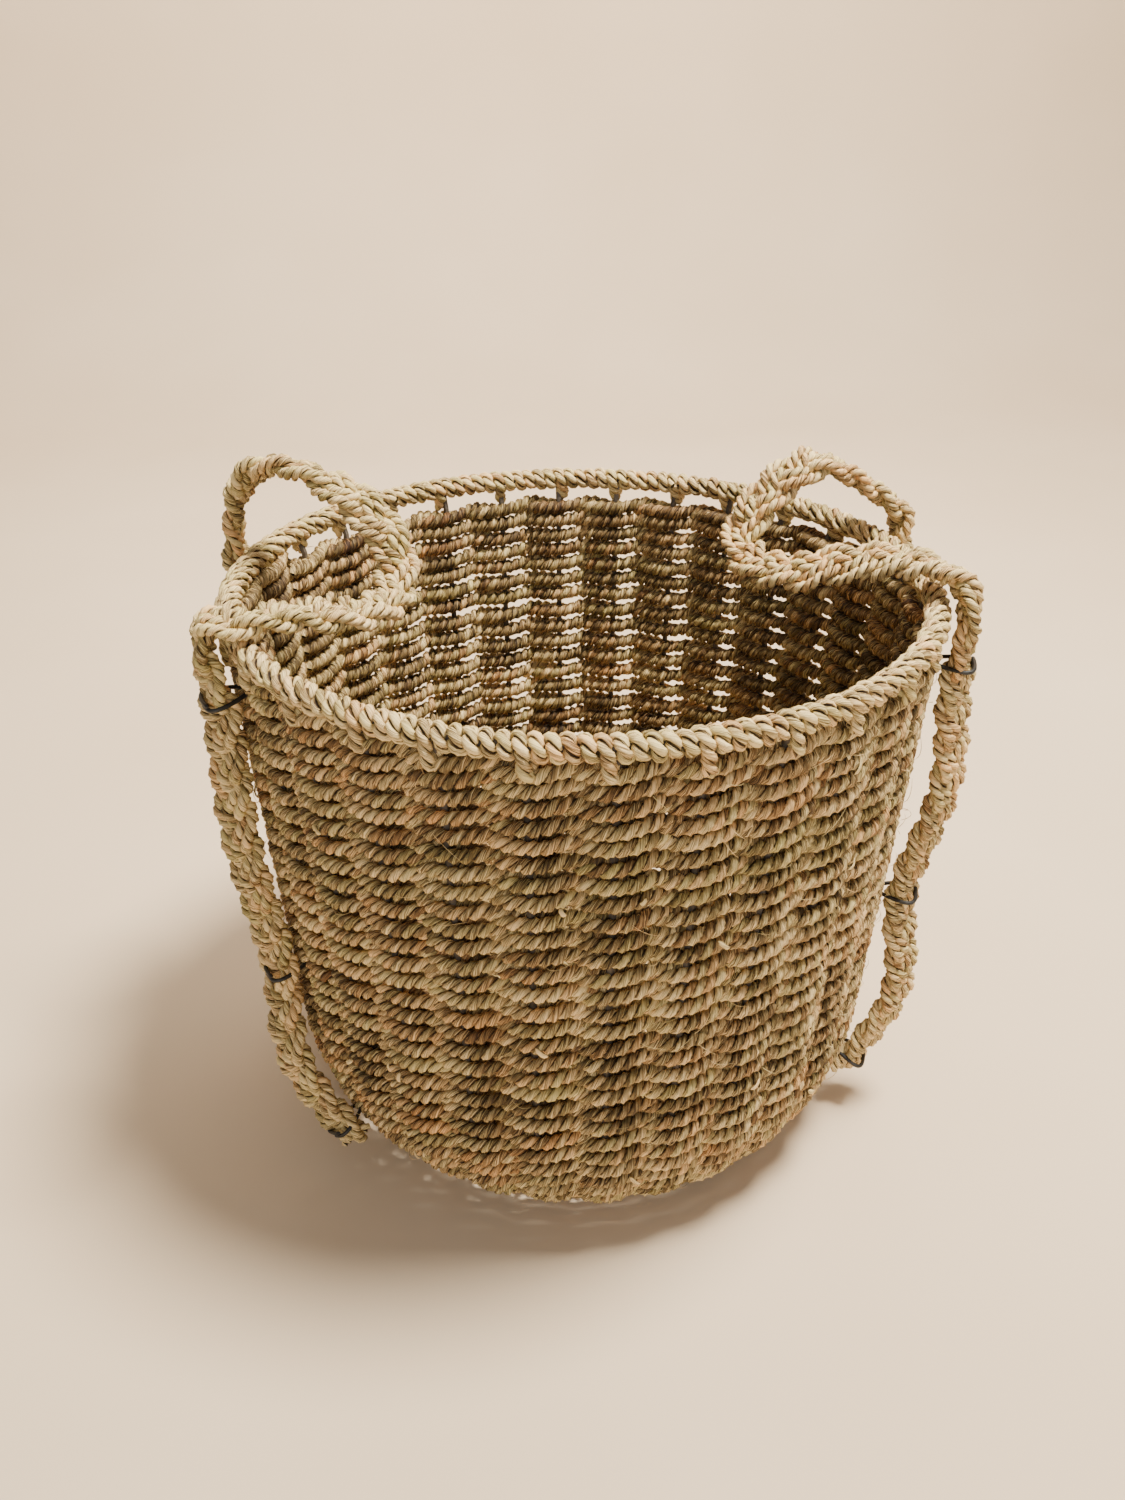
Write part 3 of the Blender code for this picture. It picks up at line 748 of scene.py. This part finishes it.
def handle_path(side):
    """The plait's middle line and its face's direction, from the near leg's foot round to the far leg's."""
    heights = np.linspace(LEG_BOTTOM_HEIGHT, HINGE_HEIGHT - LEG_END_BELOW_HINGE, LEG_POINTS)
    near = [leg_point(h, side, "near")[0] for h in heights]
    far = [leg_point(h, side, "far")[0] for h in heights[::-1]]
    across_sign = leg_turn(side, "far")
    loop = []
    for inward, across, up in ROUTES[side]:
        x = hinge_distance(side) - inward
        loop.append(np.array([x, across_sign * across * half_span(side), RIM_HEIGHT + PLAIT_ON_RIM + up]))
    path = smooth_curve(near + loop + far)
    length = along_path(path)
    start = length[len(near) * CURVE_FINENESS]
    end = length[(len(near) + len(loop) - 1) * CURVE_FINENESS]
    places = [0.0, start - TURN_FROM, start - TURN_TO]
    faces = [leg_face(side, "near")] * 2 + [leg_point(HINGE_HEIGHT, side, "near")[1]]
    for share, inward, across, up in FACINGS[side]:
        places.append(start + (end - start) * share)
        faces.append(np.array([-inward, across * across_sign, up]))
    places += [end + TURN_TO, end + TURN_FROM, length[-1]]
    faces += [leg_point(HINGE_HEIGHT, side, "far")[1]] + [leg_face(side, "far")] * 2
    path = respaced(path, PATH_STEP)[0]
    at = along_path(path)
    face = np.stack([np.interp(at, places, np.array(faces)[:, k]) for k in range(3)], axis=1)
    for _ in range(FACE_SMOOTHING):
        face[1:-1] = (face[:-2] + face[1:-1] * 2 + face[2:]) / 4
    return turned(path, side), turned(unit(face), side)


def build_handle(side, material):
    """A plait of three bundles, each of two ropes side by side."""
    path, face = handle_path(side)
    tangent = unit(np.gradient(path, axis=0))
    normal = unit(face - (face * tangent).sum(1, keepdims=True) * tangent)
    across = np.cross(tangent, normal)
    length = along_path(path)
    strands = Strands()
    wide = PLAIT_WIDTH / 2 - PLAIT_ROPE * EDGE_SHARE
    thick = (PLAIT_THICKNESS - PLAIT_ROPE) / 2
    beat = math.tau * length / PLAIT_PERIOD + wander(length, *BEAT_WANDER)
    for bundle in range(3):
        angle = beat + math.tau * bundle / 3
        line = path + across * (wide * np.sin(angle))[:, None] + normal * (thick * np.sin(2 * angle))[:, None]
        sideways = unit(np.cross(unit(np.gradient(line, axis=0)), normal))
        lighter, warmer = (rng.uniform(-spread, spread) for spread in PLAIT_TINT_SPREAD)
        tint = np.array(PLAIT_TINT) + (lighter, warmer, 0.0)
        for beside in (-BESIDE, BESIDE):
            rope = line + sideways * (beside * PLAIT_ROPE)
            lay_rope(strands, rope, normal, PLAIT_ROPE, PLAIT_LAY, tint, sides=PLAIT_SIDES)
    plait = strands.make(f"{side}_handle_plait", material)
    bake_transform(plait)
    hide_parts(f"{side}_handle_near_leg", f"{side}_handle_loop", f"{side}_handle_far_leg")


TIE_TURNS = 1.12
TIE_POINTS = 60
TIE_RADIUS = 0.00125
TIE_SIDES = 8
TIE_RISE = 0.0022
HALF_STRAIGHT = 0.005
# The wire clears the plait's edges and face, and narrows and reaches deeper behind it, into the wall.
TIE_BESIDE = 0.0004
TIE_OVER = 0.0014
TIE_NARROWS = 0.0055
TIE_DEEPER = 0.0085


def build_ties(side, material):
    """Each tie goes round the plait, in through the wall on both sides and round the wire behind."""
    turn = np.linspace(0, math.tau * TIE_TURNS, TIE_POINTS)
    behind = 0.5 - 0.5 * np.cos(turn)
    wide = PLAIT_WIDTH / 2 + TIE_BESIDE - TIE_NARROWS * behind
    deep = PLAIT_THICKNESS / 2 + TIE_OVER + TIE_DEEPER * behind
    for leg in ("near", "far"):
        for level, height in zip(("lower", "middle", "upper"), tie_heights(side)):
            middle, out = leg_point(height, side, leg)
            above, _ = leg_point(height + HALF_STRAIGHT, side, leg)
            below, _ = leg_point(height - HALF_STRAIGHT, side, leg)
            along = unit(above - below)
            sideways = unit(np.cross(along, out))
            out = np.cross(sideways, along)
            ring = middle + sideways * (wide * np.sin(turn))[:, None] + out * (deep * np.cos(turn))[:, None]
            ring = ring + along * (TIE_RISE * (turn / math.tau - 0.5))[:, None]
            seam = np.tile(along, (len(ring), 1))
            strands = Strands()
            strands.tube(turned(ring, side), turned(seam, side), TIE_RADIUS, (0.5, 0.5, 0.5), TIE_SIDES)
            name = f"{side}_{leg}_{level}_tie"
            tie = strands.make(f"{name}_wire", material)
            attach(tie, "basket")
            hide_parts(name)


# ---------------------------------------------------------------- loose fibres

# Each pair is the least and the most of what is drawn for one fibre or one cut end.
FIBRES = 260
FIBRE_WIRE = 0.00022
FIBRE_TAPER = 0.7
FIBRE_DOWN = (0.0, 0.30)
FIBRE_RUN = (0.006, 0.022)
FIBRE_ARCH = (0.0012, 0.0042)
FIBRE_ARCH_POWER = (0.5, 1.2)
FIBRE_LIFT = (0.0, 0.003)
FIBRE_BEND = (-0.002, 0.002)
FIBRE_SHADES = ((0.45, 1.0), (0.3, 0.7), (0.0, 1.0))
CUT_ENDS = 46
CUT_DOWN = (0.012, 0.30)
CUT_RUN = (0.004, 0.009)
CUT_SLANT = (0.3, 1.0)
CUT_ARCH = 0.0022
CUT_RADIUS = (0.0010, 0.0017)
CUT_FLAT = 0.35
CUT_SHADES = ((0.75, 1.05), (0.4, 0.6), (0.0, 1.0))
# How far out from the cage the fibres and the ends start, so that they leave the rope's surface.
FIBRE_OUT = OUT_SWING + ROPE * 0.42
CUT_OUT = OUT_SWING + ROPE * 0.36


def radius_at(down):
    return np.interp(down, SECTION_LENGTH, SECTION_MIDDLE[:, 0])


def build_fibres(material):
    """Fine loose fibres that stand off the weave."""
    strands = Strands()
    t = np.linspace(0, 1, 9)
    for _ in range(FIBRES):
        azimuth = rng.uniform(0, math.tau)
        down = rng.uniform(*FIBRE_DOWN)
        run = rng.uniform(*FIBRE_RUN)
        lift = rng.uniform(*FIBRE_ARCH) * np.sin(math.pi * t ** rng.uniform(*FIBRE_ARCH_POWER))
        lift = lift + rng.uniform(*FIBRE_LIFT) * t
        slant = rng.uniform(-1.0, 1.0)
        places = down + run * slant * t + rng.uniform(*FIBRE_BEND) * np.sin(math.pi * t)
        around = azimuth + run * math.sqrt(1 - slant * slant) * t / radius_at(places)
        points, facing, _ = on_wall(places, around, FIBRE_OUT + lift, 0 * t)
        shade = [rng.uniform(*limits) for limits in FIBRE_SHADES]
        strands.tube(points, facing, FIBRE_WIRE * (1 - FIBRE_TAPER * t), shade, 4)
    fibres = strands.make("loose_fibres", material)
    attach(fibres, "basket")


def build_cut_ends(material):
    """Short flat ends of leaf, cut off where a new leaf was worked in."""
    strands = Strands()
    t = np.linspace(0, 1, 7)
    for _ in range(CUT_ENDS):
        azimuth = rng.uniform(0, math.tau)
        down = rng.uniform(*CUT_DOWN)
        run = rng.uniform(*CUT_RUN)
        places = down + run * t * rng.uniform(*CUT_SLANT)
        around = azimuth + rng.uniform(-1, 1) * run * t / radius_at(places)
        lift = CUT_ARCH * np.sin(math.pi * t * 0.8)
        points, facing, _ = on_wall(places, around, CUT_OUT + lift, 0 * t)
        shade = [rng.uniform(*limits) for limits in CUT_SHADES]
        strands.tube(points, facing, rng.uniform(*CUT_RADIUS), shade, 6, flat=CUT_FLAT)
    ends = strands.make("cut_leaf_ends", material)
    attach(ends, "basket")


# ---------------------------------------------------------------- stage

FLOOR_FRONT = -1.6
FLOOR_HALF_WIDTH = 3.0
BACKDROP_DISTANCE = 2.2
BACKDROP_HEIGHT = 2.4
BACKDROP_CURVE = 0.6
CURVE_STEPS = 8


def build_stage():
    """A pale floor that curves up into a backdrop."""
    outline = [(FLOOR_FRONT, 0.0), (BACKDROP_DISTANCE - BACKDROP_CURVE, 0.0)]
    for i in range(1, CURVE_STEPS + 1):
        angle = math.pi / 2 * i / CURVE_STEPS
        y = BACKDROP_DISTANCE - BACKDROP_CURVE * (1 - math.sin(angle))
        outline.append((y, BACKDROP_CURVE * (1 - math.cos(angle))))
    outline.append((BACKDROP_DISTANCE, BACKDROP_HEIGHT))
    points = [(x, y, z) for y, z in outline for x in (-FLOOR_HALF_WIDTH, FLOOR_HALF_WIDTH)]
    faces = [(2 * i, 2 * i + 1, 2 * i + 3, 2 * i + 2) for i in range(len(outline) - 1)]
    mesh = bpy.data.meshes.new("floor")
    mesh.from_pydata(points, [], faces)
    mesh.shade_smooth()
    material, tree, shader = node_tree("pale_floor")
    patches = noise(tree, add(tree, "ShaderNodeTexCoord").outputs["Object"], 3.0, 2.0)
    colour = ramp(tree, patches, [(0.3, (0.76, 0.60, 0.42)), (0.7, (0.80, 0.64, 0.46))])
    tree.links.new(colour, shader.inputs["Base Color"])
    shader.inputs["Roughness"].default_value = 0.9
    mesh.materials.append(material)
    floor = bpy.data.objects.new("floor", mesh)
    bpy.context.scene.collection.objects.link(floor)


ROOM_COLOUR = (0.95, 0.97, 1.0, 1.0)
ROOM_STRENGTH = 0.23
BASKET_MIDDLE = (0.0, 0.0, 0.2)


def add_light(name, place, target, size, power, colour):
    """A round area light at a place, turned to its target."""
    data = bpy.data.lights.new(name, "AREA")
    data.shape = "DISK"
    data.size = size
    data.energy = power
    data.color = colour
    light = bpy.data.objects.new(name, data)
    bpy.context.scene.collection.objects.link(light)
    light.location = place
    aim = np.array(target) - np.array(place)
    from_up = math.acos(-aim[2] / np.linalg.norm(aim))
    light.rotation_euler = (from_up, 0.0, math.atan2(aim[1], aim[0]) - math.pi / 2)


def build_lights():
    """A warm light overhead and a little to the right, a weak one in front, and one on the backdrop."""
    world = bpy.data.worlds.new("soft_room")
    bpy.context.scene.world = world
    world.use_nodes = True
    background = world.node_tree.nodes["Background"]
    background.inputs["Color"].default_value = ROOM_COLOUR
    background.inputs["Strength"].default_value = ROOM_STRENGTH
    add_light("key", (0.60, -0.12, 2.2), BASKET_MIDDLE, 0.6, 128.0, (1.0, 0.93, 0.80))
    add_light("fill", (-0.1, -2.3, 0.75), BASKET_MIDDLE, 1.2, 19.0, (1.0, 0.96, 0.90))
    add_light("backdrop", (0.0, 0.75, 1.7), (0.0, 2.2, 0.7), 1.2, 45.0, (1.0, 0.92, 0.80))


# The camera's place is from the middle of the rim, before it is turned round the basket.
CAMERA_TURN = math.radians(4.0)
CAMERA_DOWN = math.radians(28.9)
CAMERA_PLACE = (-0.011, -0.707, 0.279)
LENS_MM = 31.2
SENSOR_MM = 36.0


def build_camera():
    data = bpy.data.cameras.new("camera")
    data.sensor_width = SENSOR_MM
    data.lens = LENS_MM
    camera = bpy.data.objects.new("camera", data)
    bpy.context.scene.collection.objects.link(camera)
    x, y, z = CAMERA_PLACE
    c, s = math.cos(CAMERA_TURN), math.sin(CAMERA_TURN)
    camera.location = (x * c + y * s, -x * s + y * c, z + RIM_HEIGHT)
    camera.rotation_euler = (math.pi / 2 - CAMERA_DOWN, 0.0, -CAMERA_TURN)
    bpy.context.scene.camera = camera


# ---------------------------------------------------------------- the whole basket

STRAW = dict(dark=(0.030, 0.013, 0.004), middle=(0.29, 0.180, 0.066), light=(1.0, 0.76, 0.38),
             warm=(1.0, 0.60, 0.36), green=(0.74, 0.80, 0.62))

seagrass = seagrass_material("seagrass", **STRAW)
iron = wire_material("old_iron", 160.0, 5.0, IRON_STOPS, (0.45, 0.75), (0.35, 0.0003), metallic=0.35)
tie_wire = wire_material("black_coated_wire", 300.0, 3.0, TIE_STOPS, (0.35, 0.6), (0.2, 0.0002))
build_weave(seagrass)
build_rim(seagrass)
for handle_side in ("right", "left"):
    build_handle(handle_side, seagrass)
    build_ties(handle_side, tie_wire)
build_fibres(seagrass)
build_cut_ends(seagrass)
for node_name, node in frame["nodes"].items():
    if node_name.startswith("stake") or node_name.endswith("hoop"):
        node.data.materials.clear()
        node.data.materials.append(iron)
build_stage()
build_lights()
build_camera()
